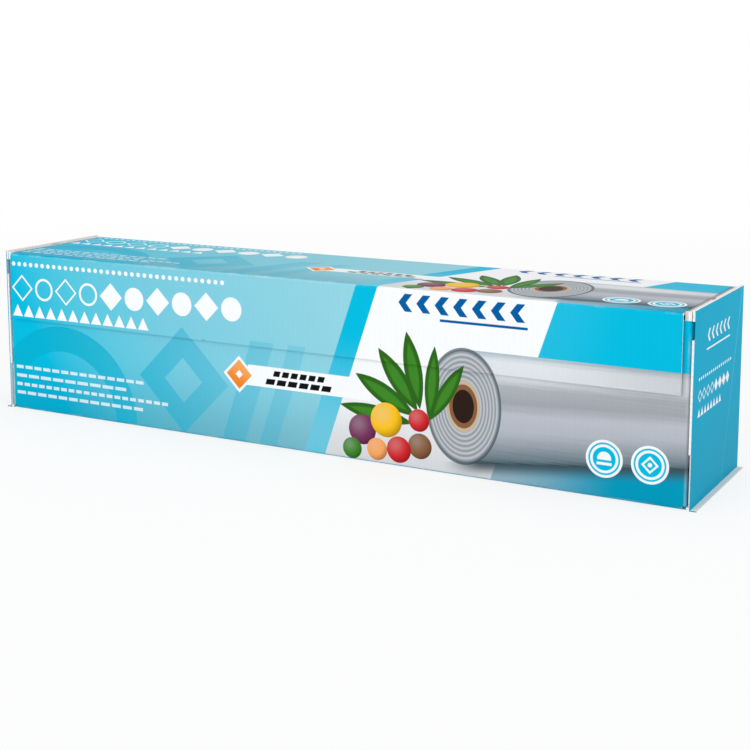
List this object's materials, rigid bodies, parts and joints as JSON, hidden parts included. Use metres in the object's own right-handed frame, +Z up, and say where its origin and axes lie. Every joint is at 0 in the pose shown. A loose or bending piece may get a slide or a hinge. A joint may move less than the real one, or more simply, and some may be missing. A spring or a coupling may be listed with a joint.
{
  "type": "boxed aluminium foil roll",
  "caption": "Long cutter carton with a hinged flap lid, toothed steel strip and a wound roll of kitchen foil on a paper tube inside.",
  "frame": {"origin": "centre of the floor under the carton", "axes": "+X along the carton to the viewer's right, front wall towards -Y, +Z up"},
  "size_m": [0.3144, 0.0634, 0.0706],
  "materials": {
    "tray_board": "printed fluted board with white raw edges",
    "lid_board": "printed fluted board with white raw edges",
    "cutter_steel": "cold rolled strip",
    "foil": "bright rolled foil",
    "tube_paper": "plain brown spiral-wound paper"
  },
  "bodies": {
    "carton": {"carton_tray": "tray_board", "cutter_strip": "cutter_steel", "foil_roll": "foil", "roll_core": "tube_paper"},
    "lid": {"carton_lid": "lid_board"}
  },
  "joints": [
    {"name": "lid_hinge", "type": "hinge", "parent": "carton", "child": "lid", "pos_m": [0, 0.0318, 0.0688], "axis": [-1, 0, 0], "range_deg": [0, 180]}
  ]
}
